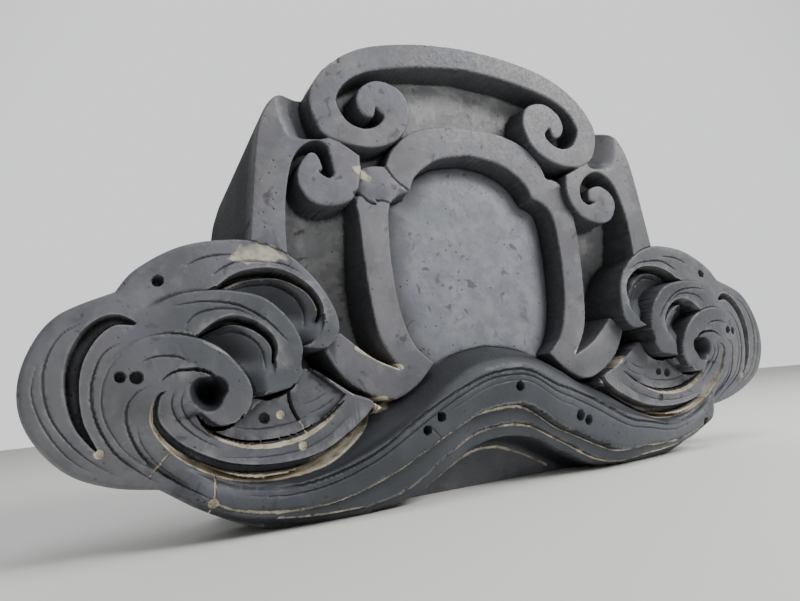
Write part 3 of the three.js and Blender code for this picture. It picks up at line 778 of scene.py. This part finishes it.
# Material
def smoked_clay():
    """Smoked clay: grey with faint blue and purple tints, pits, worn arrises, slate and lime, with a painted bluish
    sheen on the panel, painted shade in recesses and on steep walls, and grounds painted lighter, partly for dust and
    partly as painted light.
    """
    material = bpy.data.materials.new("smoked_clay")
    material.use_nodes = True
    nodes, links = material.node_tree.nodes, material.node_tree.links
    shader = nodes["Principled BSDF"]

    def put(kind, socket=None, **values):
        node = nodes.new(kind)
        for name, value in values.items():
            setattr(node, name, value)
        return node

    def link(source, node, name):
        links.new(source, node.inputs[name])

    where = nodes.new("ShaderNodeTexCoord").outputs["Object"]

    def cloud(scale, detail=4.0, rough=0.55, stretch=0.0):
        node = nodes.new("ShaderNodeTexNoise")
        node.inputs["Scale"].default_value = scale
        node.inputs["Detail"].default_value = detail
        node.inputs["Roughness"].default_value = rough
        node.inputs["Distortion"].default_value = stretch
        link(where, node, "Vector")
        return node.outputs["Fac"]

    def band(value, low, high, to_low=0.0, to_high=1.0):
        node = nodes.new("ShaderNodeMapRange")
        node.interpolation_type = "SMOOTHSTEP"
        for name, number in (("From Min", low), ("From Max", high), ("To Min", to_low), ("To Max", to_high)):
            node.inputs[name].default_value = number
        link(value, node, "Value")
        return node.outputs["Result"]

    def times(a, b, operation="MULTIPLY"):
        node = nodes.new("ShaderNodeMath")
        node.operation = operation
        for i, value in enumerate((a, b)):
            if isinstance(value, (int, float)):
                node.inputs[i].default_value = value
            else:
                links.new(value, node.inputs[i])
        return node.outputs[0]

    def mix(share, a, b):
        node = nodes.new("ShaderNodeMix")
        node.data_type = "RGBA"
        for place, value in ((0, share), (6, a), (7, b)):
            if isinstance(value, tuple):
                node.inputs[place].default_value = (*value, 1)
            else:
                links.new(value, node.inputs[place])
        return node.outputs[2]

    def mark(name):
        node = nodes.new("ShaderNodeAttribute")
        node.attribute_name = name
        return node.outputs["Fac"]

    clouds, blotches, grain, dust = cloud(9, 3), cloud(34, 5, 0.6, 0.4), cloud(420, 3, 0.6), cloud(120, 4, 0.65)
    tints, mottle, smudges = cloud(14, 2, 0.5, 0.8), cloud(75, 4, 0.6, 0.3), cloud(105, 2, 0.5, 0.6)
    pits = nodes.new("ShaderNodeTexVoronoi")
    pits.inputs["Scale"].default_value = 190
    pits.inputs["Randomness"].default_value = 1.0
    link(where, pits, "Vector")
    pit = times(band(pits.outputs["Distance"], 0.17, 0.08), band(blotches, 0.47, 0.62))
    smudge = times(band(smudges, 0.62, 0.71), band(tints, 0.40, 0.56))

    colour = mix(band(clouds, 0.36, 0.66), (0.108, 0.108, 0.124), (0.168, 0.166, 0.182))
    colour = mix(times(band(tints, 0.50, 0.66), 0.45), colour, (0.150, 0.158, 0.210))
    colour = mix(times(band(tints, 0.46, 0.34), 0.35), colour, (0.132, 0.148, 0.148))
    colour = mix(times(band(blotches, 0.48, 0.70), 0.50), colour, (0.215, 0.212, 0.222))
    colour = mix(times(band(mottle, 0.50, 0.66), 0.30), colour, (0.250, 0.248, 0.262))
    # painted sheen: a bluish painted reflection on the panel's crown, with darker bluish patches in it
    painted_sheen_colour = mix(band(tints, 0.40, 0.60), (0.215, 0.232, 0.262), (0.245, 0.245, 0.300))
    painted_sheen_colour = mix(times(band(mottle, 0.45, 0.62), 0.5), painted_sheen_colour, (0.310, 0.322, 0.350))
    colour = mix(times(mark("painted_panel_sheen"), 0.75), colour, painted_sheen_colour)
    colour = mix(times(mark("painted_panel_sheen"), band(dust, 0.53, 0.40, 0.0, 0.45)), colour, (0.140, 0.150, 0.180))
    # grounds painted lighter: partly dust, partly painted light
    ground_dust_and_light_colour = mix(band(mottle, 0.42, 0.62), (0.235, 0.238, 0.248), (0.350, 0.350, 0.360))
    colour = mix(times(mark("ground_dust_and_light"), 0.80), colour, ground_dust_and_light_colour)
    colour = mix(times(band(blotches, 0.46, 0.30), 0.45), colour, (0.085, 0.087, 0.100))
    colour = mix(times(band(dust, 0.58, 0.76), 0.30), colour, (0.33, 0.325, 0.32))
    colour = mix(times(smudge, 0.70), colour, (0.045, 0.045, 0.055))
    colour = mix(times(mark("slate"), 0.90), colour, mix(band(clouds, 0.35, 0.65), (0.036, 0.042, 0.051),
                                                          (0.072, 0.080, 0.094)))
    # painted shade in the recesses
    colour = mix(times(mark("painted_recess_shade"), 0.08), colour, (0.030, 0.031, 0.036))
    # painted shade on the steep walls
    colour = mix(times(mark("painted_wall_shade"), 0.90), colour, (0.024, 0.026, 0.031))
    colour = mix(times(mark("soot"), 0.93), colour, mix(band(clouds, 0.35, 0.65), (0.027, 0.029, 0.033),
                                                         (0.055, 0.057, 0.061)))
    colour = mix(times(mark("worn"), band(dust, 0.35, 0.62, 0.10, 0.55)), colour, (0.33, 0.32, 0.33))
    colour = mix(times(pit, 0.85), colour, (0.030, 0.030, 0.033))
    colour = mix(mark("chip"), colour, mix(band(dust, 0.4, 0.6), (0.30, 0.28, 0.25), (0.50, 0.46, 0.40)))
    limed = times(mark("lime"), band(dust, 0.30, 0.48, 0.55, 1.0))
    colour = mix(band(limed, 0.15, 0.75), colour, mix(band(dust, 0.38, 0.62), (0.46, 0.40, 0.29),
                                                       (0.66, 0.60, 0.48)))
    link(colour, shader, "Base Color")
    gloss = times(band(grain, 0.35, 0.65, 0.44, 0.60), times(mark("lime"), 0.3), "ADD")
    gloss = times(gloss, times(mark("soot"), 0.3), "ADD")
    link(gloss, shader, "Roughness")
    shader.inputs["Specular IOR Level"].default_value = 0.42

    height = times(times(grain, 0.25), times(dust, 0.6), "ADD")
    height = times(height, times(pit, -1.6), "ADD")
    height = times(height, times(limed, 1.2), "ADD")
    bump = nodes.new("ShaderNodeBump")
    bump.inputs["Strength"].default_value = 0.55
    bump.inputs["Distance"].default_value = 0.0006
    link(height, bump, "Height")
    links.new(bump.outputs["Normal"], shader.inputs["Normal"])
    return material


tile.data.materials.append(smoked_clay())

# Stage
floor_mesh = bpy.data.meshes.new("floor")
floor_mesh.from_pydata([(-3, -3, 0), (3, -3, 0), (3, 3, 0), (-3, 3, 0)], [], [(0, 1, 2, 3)])
floor = bpy.data.objects.new("floor", floor_mesh)
bpy.context.collection.objects.link(floor)
pale = bpy.data.materials.new("pale_floor")
pale.use_nodes = True
pale.node_tree.nodes["Principled BSDF"].inputs["Base Color"].default_value = (0.90, 0.90, 0.86, 1)
pale.node_tree.nodes["Principled BSDF"].inputs["Roughness"].default_value = 0.8
floor_mesh.materials.append(pale)

world = bpy.data.worlds.new("studio")
bpy.context.scene.world = world
world.use_nodes = True
sky, sky_links = world.node_tree.nodes, world.node_tree.links
direction = sky.new("ShaderNodeTexCoord").outputs["Generated"]
toward = sky.new("ShaderNodeVectorMath")
toward.operation = "DOT_PRODUCT"
toward.inputs[1].default_value = (0.43, 0.89, 0.15)
sky_links.new(direction, toward.inputs[0])
glow = sky.new("ShaderNodeMapRange")
glow.interpolation_type = "SMOOTHSTEP"
for name, number in (("From Min", 0.50), ("From Max", 0.85), ("To Min", 0.33), ("To Max", 1.28)):
    glow.inputs[name].default_value = number
sky_links.new(toward.outputs["Value"], glow.inputs["Value"])
sky["Background"].inputs["Color"].default_value = (0.86, 0.87, 0.88, 1)
sky_links.new(glow.outputs["Result"], sky["Background"].inputs["Strength"])


def area(name, place, aim, size, power, colour=(1, 1, 1)):
    lamp = bpy.data.lights.new(name, "AREA")
    lamp.shape = "RECTANGLE"
    lamp.size, lamp.size_y = size
    lamp.energy = power
    lamp.color = colour
    light = bpy.data.objects.new(name, lamp)
    light.location = place
    light.rotation_euler = (Vector(aim) - Vector(place)).to_track_quat("-Z", "Y").to_euler()
    bpy.context.collection.objects.link(light)


area("key", (1.0, -1.0, 1.1), (0, 0, 0.15), (0.7, 0.7), 25, (1, 0.99, 0.97))
area("overhead", (0.1, -0.4, 1.6), (0, 0, 0.1), (1.2, 0.8), 10, (0.96, 0.98, 1))

# Camera, at the photograph's place before the face
face_y = cad_box[1][1] + TRUNK_BACK / 1000
right = Vector((0.901, -0.421, -0.104))
up = Vector((0.028, -0.181, 0.983))
ahead = Vector((0.433, 0.889, 0.151))
camera_data = bpy.data.cameras.new("camera")
camera_data.sensor_width = 36
camera_data.lens = 27
camera = bpy.data.objects.new("camera", camera_data)
camera.matrix_world = Matrix((
    (right.x, up.x, -ahead.x, -0.2488), (right.y, up.y, -ahead.y, face_y - 0.3639),
    (right.z, up.z, -ahead.z, 0.0725), (0, 0, 0, 1),
))
camera_data.clip_start = 0.01
bpy.context.collection.objects.link(camera)
bpy.context.scene.camera = camera

bpy.context.view_layer.update()
